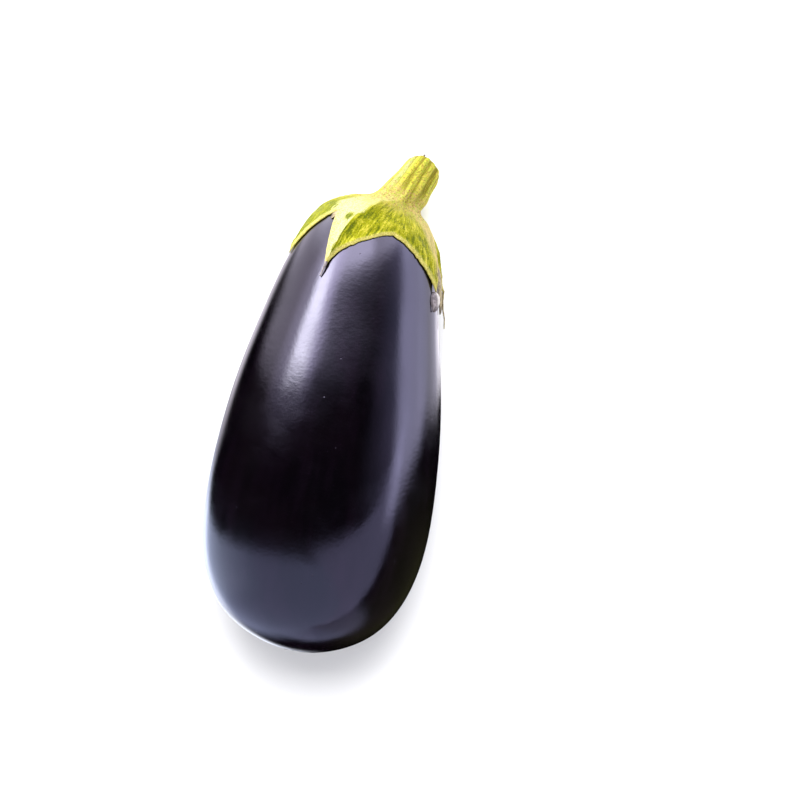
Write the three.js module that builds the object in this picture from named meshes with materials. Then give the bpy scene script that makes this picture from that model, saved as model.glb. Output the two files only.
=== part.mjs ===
// An eggplant lying on its side: the dark glossy fruit, and the green calyx that grows out of its stem.
// Millimetres, +Z up. The fruit points along +Y, from the blossom end to the stem, and lies on a flat spot.
import * as THREE from "three";
import { NURBSCurve } from "three/addons/curves/NURBSCurve.js";

// ---------------------------------------------------------------- driving dimensions

// The fruit is shaped upright first: x to the right, y from the blossom end to the stem, z to the front.
// Each pair is [height, radius], on the hull of the fruit's outline.
const OUTLINE = [
  [0, 0], [0, 10.5], [8.5, 35], [40.5, 47.5], [74, 47],
  [108, 43.6], [138.5, 36.4], [176, 28], [188.5, 15.5], [188.5, 0],
];
const FRUIT_LENGTH = 188.5;
const DEPTH_SHARE = 0.97; // the fruit is a little flatter from front to back than from side to side
const NECK_BEND_START = 110; // height where the neck starts to lean to the right
const NECK_LEAN = 2.5; // how far the top stands right of the fruit's own axis
const SCAR_DEPTH = 0.9; // the dimple at the blossom end
const SCAR_RADIUS = 4.5;
const FRUIT_RINGS = 44;
const FRUIT_SIDES = 64;

// How it lies: the neck dips until the widest stretch carries the weight.
const REST_TILT = THREE.MathUtils.degToRad(6.1);
const FLAT_DEPTH = 1; // how much the skin is pressed flat where it rests

// The stem leaves the fruit right of its top, leans right and back, and ends in a slanting cut.
const STEM_PATH = [
  new THREE.Vector3(10.5, 186, 0.5),
  new THREE.Vector3(14.2, 196.4, -0.5),
  new THREE.Vector3(19.3, 206.4, -5.2),
];
const STEM_RADIUS = 7.2;
const STEM_SPREAD = 1.7; // how much wider it is where it starts to flare
const STEM_SPREAD_POWER = 1.5;
const STEM_RIB = 0.025; // ribs from the ridges and the notches of the lobes, as a share of the radius
const STEM_FOOT = 0.5; // share of the path where the stem starts to flare into the calyx
const STEM_LENGTH = 11.5; // from its foot to its end
const END_SWELL = 0.5; // the stem swells a little near its end
const END_SWELL_PLACE = 0.86;
const END_SWELL_WIDTH = 0.16;
const GROOVE_DEPTH = 0.075; // of the deepest groove, as a share of the radius
const GROOVE_TWIST = 6; // how far the grooves turn along the stem, in degrees
// Grooves round the stem: the turn in degrees, the share of the depth, and the half width in degrees.
const GROOVES = [
  { turn: -64, depth: 0.5, width: 8 },
  { turn: -36, depth: 0.6, width: 7 },
  { turn: -10, depth: 0.9, width: 9 },
  { turn: 17, depth: 0.8, width: 8 },
  { turn: 46, depth: 1, width: 10 },
  { turn: 70, depth: 0.6, width: 8 },
  { turn: 93, depth: 0.9, width: 7 },
  { turn: 124, depth: 0.7, width: 6 },
  { turn: 158, depth: 1, width: 6 },
  { turn: 187, depth: 0.6, width: 5 },
  { turn: 214, depth: 0.9, width: 6 },
  { turn: 243, depth: 0.7, width: 5 },
  { turn: 270, depth: 0.9, width: 6 },
];
const CUT_SLANT = 1.6; // by how much the front of the cut stands beyond its middle
const CUT_ROUNDING = 2.4; // radius of the cut's edge
// The cut end, from the middle of the pith hole outwards.
const CUT_RINGS = [
  { radius: 0, sink: 2 },
  { radius: 1.3, sink: 1.6 },
  { radius: 1.6, sink: 0.3 },
  { radius: 3.3, sink: 0 },
];
// Rows of the stem as shares of the way from its end to its foot, close together round the edge of the cut.
const STEM_ROWS = [0, 0.02, 0.07, 0.14, 0.24, 0.38, 0.52, 0.68, 0.84];

// The calyx: one cap that ends in five pointed lobes. Turns are in degrees from the front towards the
// right, and reaches are measured along the fruit's skin from its top. A fuller side bulges more between
// notch and tip. A fold stands along each lobe's ridge. The ridge lies off the lobe's middle by `ridge`,
// and at the stem by `drift` more. The fold starts to rise at the share `rise` of the way over the cap.
const LOBES = [
  { tip: -25.3, reach: 52, left: 0.85, right: 0.48, lift: 0.6, fold: 3, ridge: 0, drift: 0.5, rise: -0.3 },
  { tip: 71, reach: 52, left: 0.8, right: 0.42, lift: 0.8, fold: 2.6, ridge: 0.05, drift: 0, rise: 0.35 },
  { tip: 93, reach: 51, left: 0.8, right: 0.5, lift: 2.3, fold: 2.4, ridge: -0.35, drift: 0, rise: 0.2 },
  { tip: 196, reach: 57, left: 0.6, right: 0.5, lift: 1.6, fold: 1.6, ridge: 0, drift: 0, rise: 0.1 },
  { tip: 281, reach: 45.5, left: 0.6, right: 0.9, lift: 0, fold: 0.8, ridge: 0, drift: 0, rise: -0.3 },
];
// The notch on the left of each lobe.
const NOTCHES = [
  { turn: -42, reach: 23.5 },
  { turn: 22, reach: 31.5 },
  { turn: 88, reach: 39 },
  { turn: 148, reach: 27 },
  { turn: 237, reach: 26 },
];
const LOBE_SIDES = 20; // columns across each lobe
const GATHERING = 1.6; // how strongly the columns gather towards the tip
const POINTING = 1.2; // how slender the tips are
const RIDGE_WIDTH = 0.32; // of the half lobe
const RIDGE_SPREAD = 0.9; // how much wider a ridge is at the stem, as a share of its width
const RIDGE_SHARPNESS = 0.7; // share of the narrow ridge in the fold, the rest is broad
const DRIFT_END = 0.8; // share of the way over which a ridge drifts to its place
const BROAD_RIDGE_POWERS = [1.3, 1.5];
const RIDGE_RISE = 0.6; // share of the way in which a ridge rises to its full height
const RIDGE_FALL = 0.6; // share of its height that a ridge loses on the way to the tip
const CAP_CENTRE = 6; // where the stem stands, along the skin from the fruit's top to the right
const CAP_RADIUS = 13; // where the flare of the stem ends and the cap lies along the skin
const CAP_THICKNESS = 1.6;
const MARGIN_THICKNESS = 1;
const SKIN_GAP = 0.35; // clearance between the calyx and the fruit
const FLARE_PULL = 0.45; // how far the stem and the cap keep their own directions in the flare
const FLARE_STEP = 0.05; // the stretch that gives those directions
const FLARE_RINGS = 6;
const CAP_RINGS = 14;
const UNDER_RINGS = 9;
const CORE_RINGS = 4; // under the stem, where the calyx sits on the fruit's top

// ---------------------------------------------------------------- the fruit's skin

const outline = clampedCurve(OUTLINE);
const outlineLength = outline.getLength();

// A smooth curve that starts and ends on its hull's first and last points.
function clampedCurve(hull) {
  const degree = 3;
  const inner = hull.length - degree;
  const knots = [];
  for (let i = 0; i < degree; i++) knots.push(0);
  for (let i = 0; i <= inner; i++) knots.push(i / inner);
  for (let i = 0; i < degree; i++) knots.push(1);
  const curve = new NURBSCurve(degree, knots, hull.map(([y, r]) => new THREE.Vector4(r, y, 0, 1)));
  curve.arcLengthDivisions = 1000;
  return curve;
}

// How far the middle of the fruit has moved to the right at a height, and how fast it moves there.
function neckLean(y) {
  const rise = Math.max(0, (y - NECK_BEND_START) / (FRUIT_LENGTH - NECK_BEND_START));
  const slope = (3 * NECK_LEAN * rise ** 2) / (FRUIT_LENGTH - NECK_BEND_START);
  return { shift: NECK_LEAN * rise ** 3, slope };
}

// A point on the skin, or that far out from it. `reach` is measured along the skin from the stem.
function skinPoint(reach, turn, out = 0) {
  const t = outline.getUtoTmapping(1 - Math.min(reach / outlineLength, 1));
  const { x: radius, y } = outline.getPoint(t);
  const along = outline.getTangent(t);
  const { shift, slope } = neckLean(y);
  const sin = Math.sin(turn);
  const cos = Math.cos(turn);
  const scar = SCAR_DEPTH * Math.exp(-((radius / SCAR_RADIUS) ** 2)) * (y < OUTLINE[2][0] ? 1 : 0);
  const point = new THREE.Vector3(shift + radius * sin, y + scar, radius * cos * DEPTH_SHARE);
  if (out === 0) return point;
  const up = new THREE.Vector3(slope * along.y + along.x * sin, along.y, along.x * cos * DEPTH_SHARE);
  const round = new THREE.Vector3(cos, 0, -sin * DEPTH_SHARE);
  return point.addScaledVector(up.cross(round).negate().normalize(), out);
}

// A closed skin of rings round the Y axis, whose points are then moved to where `place` says.
function ringedSkin(rings, sides, place) {
  const profile = [];
  for (let i = 0; i < rings; i++) profile.push(new THREE.Vector2(Math.sin((Math.PI * i) / (rings - 1)), i));
  profile[0].x = 0;
  profile[rings - 1].x = 0;
  const skin = new THREE.LatheGeometry(profile, sides);
  const position = skin.getAttribute("position");
  for (let side = 0; side <= sides; side++) {
    for (let ring = 0; ring < rings; ring++) {
      const point = place(ring, side % sides);
      position.setXYZ(side * rings + ring, point.x, point.y, point.z);
    }
  }
  return skin;
}

function makeFruit() {
  const place = (ring, side) => {
    const reach = outlineLength * (1 - ring / (FRUIT_RINGS - 1));
    return skinPoint(reach, (2 * Math.PI * side) / FRUIT_SIDES);
  };
  return ringedSkin(FRUIT_RINGS, FRUIT_SIDES, place);
}

// ---------------------------------------------------------------- the calyx and stem

const stemPath = new THREE.QuadraticBezierCurve3(...STEM_PATH);

// A point round the stem, `share` of the way up its path, at a radius and a turn. The end slants.
function stemPoint(share, turn, radius, sink = 0) {
  const along = stemPath.getTangent(share);
  const right = new THREE.Vector3(1, 0, 0).addScaledVector(along, -along.x).normalize();
  const front = new THREE.Vector3().crossVectors(right, along);
  const towardsEnd = THREE.MathUtils.smoothstep(share, STEM_FOOT, 1);
  const slant = ((CUT_SLANT * radius) / STEM_RADIUS) * Math.cos(turn) * towardsEnd;
  return stemPath.getPoint(share)
    .addScaledVector(right, radius * Math.sin(turn))
    .addScaledVector(front, radius * Math.cos(turn))
    .addScaledVector(along, slant - sink);
}

// One column of the calyx runs from the stem to the margin. `across` is -1 and 1 at the notches.
function column(side) {
  const index = Math.floor(side / LOBE_SIDES);
  const lobe = LOBES[index];
  const across = (2 * (side % LOBE_SIDES)) / LOBE_SIDES - 1;
  const before = NOTCHES[index];
  const next = NOTCHES[(index + 1) % NOTCHES.length];
  const after = { turn: next.turn + (index + 1 === NOTCHES.length ? 360 : 0), reach: next.reach };
  const notch = across < 0 ? before : after;
  const spread = Math.abs(across) ** GATHERING;
  const fullness = across < 0 ? lobe.left : lobe.right;
  const pointed = (1 - spread ** fullness) ** POINTING;
  const turn = THREE.MathUtils.degToRad(THREE.MathUtils.lerp(before.turn, after.turn, (across + 1) / 2));
  const edgeTurn = THREE.MathUtils.degToRad(THREE.MathUtils.lerp(lobe.tip, notch.turn, spread));
  const edgeReach = THREE.MathUtils.lerp(notch.reach, lobe.reach, pointed);
  const start = new THREE.Vector2(CAP_CENTRE + CAP_RADIUS * Math.sin(turn), CAP_RADIUS * Math.cos(turn));
  const edge = new THREE.Vector2(Math.sin(edgeTurn), Math.cos(edgeTurn)).multiplyScalar(edgeReach);
  return { lobe, across, notch, turn, start, edge };
}

// How high the ridge of a lobe stands in a column, `past` being the way from the notch to the tip.
function ridgeHeight(col, share, past) {
  const ridge = col.lobe.ridge + col.lobe.drift * (1 - THREE.MathUtils.smoothstep(share, 0, DRIFT_END));
  const away = Math.abs(col.across - ridge);
  const side = away / (col.across > ridge ? 1 - ridge : 1 + ridge);
  const broad = (1 - side ** BROAD_RIDGE_POWERS[0]) ** BROAD_RIDGE_POWERS[1];
  const width = RIDGE_WIDTH * (1 + RIDGE_SPREAD * (1 - share) ** 2);
  const narrow = Math.exp(-((side / width) ** 2));
  const { fold, rise } = col.lobe;
  const risen = THREE.MathUtils.smoothstep(share, rise, rise + RIDGE_RISE);
  return fold * THREE.MathUtils.lerp(broad, narrow, RIDGE_SHARPNESS) * risen * (1 - RIDGE_FALL * past);
}

// Where a column is at a share of its way over the cap, and how far it stands off the skin.
function capPlace(col, share) {
  const spot = col.start.clone().lerp(col.edge, share);
  const reach = spot.length();
  const past = THREE.MathUtils.clamp((reach - col.notch.reach) / (col.lobe.reach - col.notch.reach), 0, 1);
  const lift = SKIN_GAP + col.lobe.lift * past ** 3;
  const plain = THREE.MathUtils.lerp(CAP_THICKNESS, MARGIN_THICKNESS, share);
  const thickness = plain + ridgeHeight(col, share, past) * (1 - share ** 4);
  return { reach, turn: Math.atan2(spot.x, spot.y), lift, thickness };
}

function capTop(col, share) {
  const { reach, turn, lift, thickness } = capPlace(col, share);
  return skinPoint(reach, turn, lift + thickness);
}

function capUnder(col, share) {
  const { reach, turn, lift } = capPlace(col, share);
  return skinPoint(reach, turn, lift);
}

// The same underside carried on below the stem, from its middle out to the start of the cap.
function coreUnder(col, share) {
  const spot = new THREE.Vector2(CAP_CENTRE, 0).lerp(col.start, share);
  return skinPoint(spot.length(), Math.atan2(spot.x, spot.y), SKIN_GAP);
}

// The stem's side flares out and turns into the cap along one smooth curve.
function flarePoint(col, share) {
  const foot = stemPoint(STEM_FOOT, col.turn, stemRadius(col, STEM_FOOT));
  const above = stemPoint(STEM_FOOT + FLARE_STEP, col.turn, stemRadius(col, STEM_FOOT + FLARE_STEP));
  const rim = capTop(col, 0);
  const pull = FLARE_PULL * foot.distanceTo(rim);
  const down = foot.clone().sub(above).normalize();
  const outward = capTop(col, FLARE_STEP).sub(rim).normalize();
  const curve = new THREE.CubicBezierCurve3(
    foot, foot.clone().addScaledVector(down, pull), rim.clone().addScaledVector(outward, -pull), rim,
  );
  return curve.getPoint(share);
}

// How deep in a groove a column of the stem is, from 0 to 1.
function grooveAt(col, share) {
  const twisted = THREE.MathUtils.radToDeg(col.turn) + GROOVE_TWIST * (share - (1 + STEM_FOOT) / 2);
  let deep = 0;
  for (const { turn, depth, width } of GROOVES) {
    const away = THREE.MathUtils.euclideanModulo(twisted - turn + 180, 360) - 180;
    deep = Math.max(deep, depth * Math.exp(-((away / width) ** 2)));
  }
  return deep;
}

function stemRadius(col, share) {
  const spread = STEM_SPREAD * ((1 - share) / (1 - STEM_FOOT)) ** STEM_SPREAD_POWER;
  const rib = STEM_RIB * Math.cos(Math.PI * col.across);
  const swell = END_SWELL * Math.exp(-(((share - END_SWELL_PLACE) / END_SWELL_WIDTH) ** 2));
  return (STEM_RADIUS + spread) * (1 + rib - GROOVE_DEPTH * grooveAt(col, share)) + swell;
}

// How much the rounding of the cut's edge takes off the radius at a share of the stem's path.
function roundedOff(share) {
  const fromEnd = ((1 - share) / (1 - STEM_FOOT)) * STEM_LENGTH;
  if (fromEnd > CUT_ROUNDING) return 0;
  return CUT_ROUNDING - Math.sqrt(CUT_ROUNDING ** 2 - (CUT_ROUNDING - fromEnd) ** 2);
}

function makeCalyxAndStem() {
  const sides = LOBES.length * LOBE_SIDES;
  const columns = Array.from({ length: sides }, (_, side) => column(side));
  const rows = []; // each row gives one ring of the closed skin, from the cut end round to under the cap
  for (const { radius, sink } of CUT_RINGS) rows.push((col) => stemPoint(1, col.turn, radius, sink));
  for (const down of STEM_ROWS) {
    const share = THREE.MathUtils.lerp(1, STEM_FOOT, down);
    rows.push((col) => stemPoint(share, col.turn, stemRadius(col, share) - roundedOff(share)));
  }
  for (let i = 0; i < FLARE_RINGS; i++) rows.push((col) => flarePoint(col, i / FLARE_RINGS));
  for (let i = 0; i <= CAP_RINGS; i++) rows.push((col) => capTop(col, i / CAP_RINGS));
  for (let i = UNDER_RINGS; i >= 0; i--) rows.push((col) => capUnder(col, i / UNDER_RINGS));
  for (let i = CORE_RINGS - 1; i >= 0; i--) rows.push((col) => coreUnder(col, i / CORE_RINGS));
  return ringedSkin(rows.length, sides, (ring, side) => rows[rows.length - 1 - ring](columns[side]));
}

// ---------------------------------------------------------------- laying it down

// Tips the upright shapes onto the surface z = 0 and presses the fruit's skin flat there.
function layDown(fruit, green) {
  for (const shape of [fruit, green]) shape.rotateX(-REST_TILT);
  fruit.computeBoundingBox();
  const drop = -fruit.boundingBox.min.z - FLAT_DEPTH;
  const whole = new THREE.Box3();
  for (const shape of [fruit, green]) {
    shape.translate(0, 0, drop);
    const position = shape.getAttribute("position");
    for (let i = 0; i < position.count; i++) position.setZ(i, Math.max(0, position.getZ(i)));
    shape.computeBoundingBox();
    whole.union(shape.boundingBox);
  }
  const centre = whole.getCenter(new THREE.Vector3());
  for (const shape of [fruit, green]) {
    shape.translate(-centre.x, -centre.y, 0);
    shape.computeVertexNormals();
  }
}

const fruitSkin = new THREE.MeshStandardMaterial({ color: 0x150f1c, roughness: 0.18, metalness: 0 });
const greenSkin = new THREE.MeshStandardMaterial({ color: 0x9fae2a, roughness: 0.75, metalness: 0 });

const fruitShape = makeFruit();
const greenShape = makeCalyxAndStem();
layDown(fruitShape, greenShape);

const fruit = new THREE.Mesh(fruitShape, fruitSkin);
fruit.name = "fruit";
const calyxAndStem = new THREE.Mesh(greenShape, greenSkin);
calyxAndStem.name = "calyx_and_stem";

const eggplant = new THREE.Group();
eggplant.add(fruit, calyxAndStem);

export default eggplant;
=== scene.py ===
"""An eggplant lying on its side on a pale table: glossy near-black fruit, green calyx and cut stem.

The fruit and its calyx are shaped upright, in millimetres, as the solids are: x to the right, y from the
blossom end to the stem and z to the front. They are then laid down in the frame's own place, in metres.
"""

import math
import random

import bmesh
import bpy
from mathutils import Matrix, Vector, kdtree, noise


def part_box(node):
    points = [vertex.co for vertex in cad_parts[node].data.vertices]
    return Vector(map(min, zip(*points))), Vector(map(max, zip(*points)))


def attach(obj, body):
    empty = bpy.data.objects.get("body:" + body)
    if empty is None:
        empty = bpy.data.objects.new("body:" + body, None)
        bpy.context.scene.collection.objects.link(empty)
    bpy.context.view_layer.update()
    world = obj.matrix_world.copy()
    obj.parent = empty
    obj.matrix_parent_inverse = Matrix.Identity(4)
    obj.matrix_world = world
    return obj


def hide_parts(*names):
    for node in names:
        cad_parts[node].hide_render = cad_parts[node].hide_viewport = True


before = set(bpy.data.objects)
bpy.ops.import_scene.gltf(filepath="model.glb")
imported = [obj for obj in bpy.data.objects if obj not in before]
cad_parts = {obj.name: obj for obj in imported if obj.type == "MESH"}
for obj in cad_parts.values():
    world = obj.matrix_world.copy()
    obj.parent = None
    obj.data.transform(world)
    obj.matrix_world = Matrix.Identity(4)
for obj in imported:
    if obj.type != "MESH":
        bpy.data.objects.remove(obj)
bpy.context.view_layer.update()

MM = 0.001

# ---- the fruit's form

OUTLINE = [  # [height, radius] hull of the fruit's outline
    (0, 0), (0, 10.5), (8.5, 35), (40.5, 47.5), (74, 47),
    (108, 43.6), (138.5, 36.4), (176, 28), (188.5, 15.5), (188.5, 0),
]
FRUIT_LENGTH = 188.5
DEPTH_SHARE = 0.97
NECK_BEND_START = 110
NECK_LEAN = 2.5
SCAR_DEPTH = 0.9
SCAR_RADIUS = 4.5
REST_TILT = math.radians(6.1)
FLAT_DEPTH = 1
FRUIT_SIDES = 288
FRUIT_RINGS = 176
SWELL_SIZE = 34  # the soft unevenness of the fruit, from hump to hump
SWELL_HEIGHT = 0.35
DENT_HEIGHT = 0.06
PUCKERS = 11  # the folds round the blossom scar
PUCKER_DEPTH = 0.12
PUCKER_REACH = 6  # from the blossom end

# ---- the calyx's form

STEM_PATH = [Vector((10.5, 186, 0.5)), Vector((14.2, 196.4, -0.5)), Vector((19.3, 206.4, -5.2))]
STEM_RADIUS = 7.2
STEM_SPREAD = 1.7
STEM_RIB = 0.025
GROOVE_DEPTH = 0.075  # of the stem's radius
GROOVES = [  # (turn, depth, width) round the stem, in degrees
    (-64, 0.5, 8), (-36, 0.6, 7), (-10, 0.9, 9), (17, 0.8, 8), (46, 1.0, 10), (70, 0.6, 8), (93, 0.9, 7),
    (124, 0.7, 6), (158, 1.0, 6), (187, 0.6, 5), (214, 0.9, 6), (243, 0.7, 5), (270, 0.9, 6),
]
LIT_SIDE_EDGE_CAP = -12  # degrees of turn, where the painted light on the side that faces the lamp ends
LIT_SIDE_EDGE_STEM = -38
GREEN_SPOT = (27.3, -21)  # (reach, turn) of a green spot within the painted lit side
GREEN_SPOT_SIZE = (1.6, 4)
STEM_FOOT = 0.5
PITH_HOLE_DEPTH = 2
LOBES = [  # turns in degrees from the front to the right, reaches along the skin from the fruit's top
    dict(tip=-25.3, reach=52, left=0.85, right=0.48, lift=0.6, fold=3.0, ridge=0, drift=0.5, rise=-0.3),
    dict(tip=71, reach=52, left=0.8, right=0.42, lift=0.8, fold=2.6, ridge=0.05, drift=0, rise=0.35),
    dict(tip=93, reach=51, left=0.8, right=0.5, lift=2.3, fold=2.4, ridge=-0.35, drift=0, rise=0.2),
    dict(tip=196, reach=57, left=0.6, right=0.5, lift=1.6, fold=1.6, ridge=0, drift=0, rise=0.1),
    dict(tip=281, reach=45.5, left=0.6, right=0.9, lift=0, fold=0.8, ridge=0, drift=0, rise=-0.3),
]
NOTCHES = [(-42, 23.5), (22, 31.5), (88, 39), (148, 27), (237, 26)]  # (turn, reach) on the left of each lobe
LOBE_SIDES = 64
CAP_CENTRE = 6
CAP_RADIUS = 13
CAP_THICKNESS = 1.6
MARGIN_THICKNESS = 1
MARGIN_LIFT = -0.17
MARGIN_RAGS = (0.3, 0.55)  # the heights of its long and short waves
EDGE_SPREAD = 1.6  # how much the columns crowd towards the lobes' tips
TIP_SHARPNESS = 1.2
MARGIN_BEVEL = 0.55  # how much of its thickness the margin loses at its very edge
MARGIN_DETAIL = 4  # points of the margin in each column, for measuring how far it is
SKIN_GAP = 0.35
STEM_RINGS = 42
FLARE_RINGS = 18
CAP_RINGS = 64
UNDER_RINGS = 12
CORE_RINGS = 3
RIDGE_WIDTH = 0.32  # of the half lobe, where each ridge has fallen away
RIDGE_SPREAD = 0.9  # how much wider a ridge is at the stem
RIDGE_SHARPNESS = 0.7
DRIFT_END = 0.8  # how far out a ridge that drifts has come to its place
LIT_SIDE_DRIFT = 16  # degrees by which the painted lit side is wider at the stem than at DRIFT_END
BLUSH_SPREAD = 0.45  # how much wider the tan side is at the stem, of the half lobe
RIDGE_SHADE = (0.7, 0.2, 0.16)  # painted shade: the depth of the darker green painted beside a ridge, on its side away from the lamp, its place and width on the half lobe
RIM_HEIGHT = 0.14
VALLEY_DEPTH = 0.3
FIBRE_SIZE = (0.62, 0.62, 0.4)
FIBRE_HEIGHT = 0.2
LUMP_SIZE = 3.6
LUMP_HEIGHT = 0.26
WART_SIZE = 0.75
WART_HEIGHT = 0.16
CUT_SLANT = 1.6  # by how much the front of the cut end stands beyond its middle
FLOW_RADIUS = 15  # of the round that the fibres' pattern is laid on
FLOW_STRETCH = 11  # how many times longer than wide the fibres are
STEM_FLOW = -48  # the pattern's length along the whole stem's path
CUT_RINGS = [  # (radius, sink) of the cut end, from the pith's hole outwards
    (0.5, 2.0), (1.0, 1.9), (1.3, 1.3), (1.6, 0.35), (2.4, 0.1), (3.3, 0.0), (3.8, 0.2), (4.4, 0.15),
]
EDGE_ROUNDING = 2.4
STEM_LENGTH = 11.5  # from its foot to its end
STEM_END_SWELL = 0.5
CRUMB_PLACE = (-23, 5.9, -0.2)  # (turn, radius, sink) on the cut end
CRUMB_SIZE = 0.55

# The down on the calyx and its dried ends. Each spot of a strand is (reach, turn, height off the skin).
HAIRS = 9000
HAIR_BATCH = 150
HAIR_LENGTH = (0.35, 0.85)
HAIR_THICKNESS = 0.08
HAIR_STRAY = 0.45
HAIR_ROOT = 0.08  # how deep a hair starts
HUSK_THICKNESS = 0.18
STRAND = [(50, 99, 3.2), (54, 99, 2.5), (58, 97, 2.3), (62, 94.5, 2.6), (66, 92, 2.2)]
LOBE_TIP = [(48.0, -25.0, 1.3), (50.0, -25.4, 1.1), (52.4, -26.0, 0.85), (54.2, -26.7, 0.6)]


def smoothstep(low, high, value):
    share = min(max((value - low) / (high - low), 0), 1)
    return share * share * (3 - 2 * share)


def mix(a, b, share):
    return a + (b - a) * share


def grain(x, y=0.0, z=0.0, seed=0):
    """Smooth noise from -1 to 1."""
    return noise.noise(Vector((x + seed * 7.3, y + seed * 3.1, z + seed * 5.7)))


# ---- the fruit's skin as a surface


def clamped_curve(hull, samples):
    """Points of the smooth cubic curve that starts and ends on its hull's first and last points."""
    degree = 3
    inner = len(hull) - degree
    knots = [0] * degree + [i / inner for i in range(inner + 1)] + [1] * degree
    points = []
    for i in range(samples + 1):
        t = min(i / samples, 1 - 1e-9)
        span = degree + int(t * inner)
        near = [Vector(hull[span - degree + j]) for j in range(degree + 1)]
        for level in range(1, degree + 1):
            for j in range(degree, level - 1, -1):
                low = knots[span - degree + j]
                share = (t - low) / (knots[span + 1 + j - level] - low)
                near[j] = near[j - 1].lerp(near[j], share)
        points.append(near[degree])
    return points


class Skin:
    """The fruit's surface. A place on it is a reach along the skin from the top, and a turn to the right."""

    def __init__(self):
        self.profile = clamped_curve(OUTLINE, 3000)
        self.lengths = [0.0]
        for a, b in zip(self.profile, self.profile[1:]):
            self.lengths.append(self.lengths[-1] + (b - a).length)
        self.length = self.lengths[-1]
        self.even = self.evenly_spaced(2000)

    def evenly_spaced(self, count):
        even = []
        i = 0
        for step in range(count + 1):
            goal = self.length * step / count
            while i < len(self.lengths) - 2 and self.lengths[i + 1] < goal:
                i += 1
            share = (goal - self.lengths[i]) / (self.lengths[i + 1] - self.lengths[i])
            even.append(self.profile[i].lerp(self.profile[i + 1], share))
        return even

    def profile_at(self, reach):
        """Height, radius and the direction of the outline towards the top."""
        place = (1 - min(max(reach / self.length, 0), 1)) * (len(self.even) - 1)
        i = min(int(place), len(self.even) - 2)
        point = self.even[i].lerp(self.even[i + 1], place - i)
        along = (self.even[min(i + 2, len(self.even) - 1)] - self.even[max(i - 1, 0)]).normalized()
        return point, along

    def point(self, reach, turn, out=0.0):
        (y, radius), along = self.profile_at(reach)
        rise = max(0, (y - NECK_BEND_START) / (FRUIT_LENGTH - NECK_BEND_START))
        shift = NECK_LEAN * rise**3
        slope = 3 * NECK_LEAN * rise**2 / (FRUIT_LENGTH - NECK_BEND_START)
        sin, cos = math.sin(turn), math.cos(turn)
        scar = SCAR_DEPTH * math.exp(-((radius / SCAR_RADIUS) ** 2)) if y < OUTLINE[2][0] else 0
        point = Vector((shift + radius * sin, y + scar, radius * cos * DEPTH_SHARE))
        if out == 0:
            return point
        up = Vector((slope * along[0] + along[1] * sin, along[0], along[1] * cos * DEPTH_SHARE))
        around = Vector((cos, 0, -sin * DEPTH_SHARE))
        return point - up.cross(around).normalized() * out


SKIN = Skin()

# ---- laying it down


def laid_down():
    """The matrix from the upright form, in millimetres, to the frame, in metres."""
    tilted = Matrix.Rotation(-REST_TILT, 4, "X")
    lowest = 0
    nearest = 0
    for i in range(400):
        point = tilted @ SKIN.point(SKIN.length * i / 400, math.pi)
        lowest = min(lowest, point.z)
        nearest = min(nearest, point.y, (tilted @ SKIN.point(SKIN.length * i / 400, 0)).y)
    low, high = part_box("fruit")
    middle = (low[0] + high[0]) / 2
    shift = Vector((middle / MM, low[1] / MM - nearest, -lowest - FLAT_DEPTH))
    return Matrix.Scale(MM, 4) @ Matrix.Translation(shift) @ tilted


LAID_DOWN = laid_down()


def grid_skin(rings, sides, mark_names):
    """A closed skin of rings, pole to pole, for a formula to move, with the layers that mark its parts.

    Gives the mesh, each point's ring and side, and the layers. Its points and faces are put in order, because
    the sphere comes in another order on each run.
    """

    def place(vert):
        ring = round(math.acos(max(-1, min(1, vert.co.z))) / math.pi * (rings - 1))
        side = round(math.atan2(vert.co.x, -vert.co.y) / (2 * math.pi) * sides) % sides
        return ring, side

    def face_order(face):
        corners = [vert.index for vert in face.verts]
        return min(corners) * rings * sides + max(corners)

    mesh = bmesh.new()
    layers = {name: mesh.verts.layers.float.new(name) for name in mark_names}
    layers["flow"] = mesh.verts.layers.float_vector.new("flow")
    bmesh.ops.create_uvsphere(mesh, u_segments=sides, v_segments=rings - 1, radius=1)
    mesh.verts.sort(key=lambda vert: place(vert)[0] * sides + place(vert)[1])
    mesh.verts.index_update()
    mesh.faces.sort(key=face_order)
    return mesh, {vert: place(vert) for vert in mesh.verts}, layers


def finish_piece(mesh, name, slot, *replaced):
    """Makes the mesh an object that rides on the frame and stands for the nodes named."""
    bmesh.ops.recalc_face_normals(mesh, faces=mesh.faces)
    data = bpy.data.meshes.new(name)
    mesh.to_mesh(data)
    mesh.free()
    data.polygons.foreach_set("use_smooth", [True] * len(data.polygons))
    piece = bpy.data.objects.new(name, data)
    bpy.context.scene.collection.objects.link(piece)
    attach(piece, "root")
    for node in replaced:
        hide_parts(node)
    return piece


# ---- the fruit


def grown_point(reach, turn, out=0.0):
    """A point of the skin as it has grown, softly uneven and puckered round the blossom scar."""
    smooth = SKIN.point(reach, turn)
    broad = grain(smooth.x / SWELL_SIZE, smooth.y / (2 * SWELL_SIZE), smooth.z / SWELL_SIZE)
    fine = grain(smooth.x / 13, smooth.y / 22, smooth.z / 13, seed=2)
    from_tip = SKIN.length - reach
    swell = SWELL_HEIGHT * broad + DENT_HEIGHT * fine
    swell *= smoothstep(0, 8, from_tip) * smoothstep(4, 30, reach)
    folds = math.cos(PUCKERS * turn + 2 * grain(turn, from_tip / 5))
    pucker = PUCKER_DEPTH * folds * math.exp(-(((from_tip - PUCKER_REACH) / 4) ** 2))
    return SKIN.point(reach, turn, out + swell + pucker)


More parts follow.
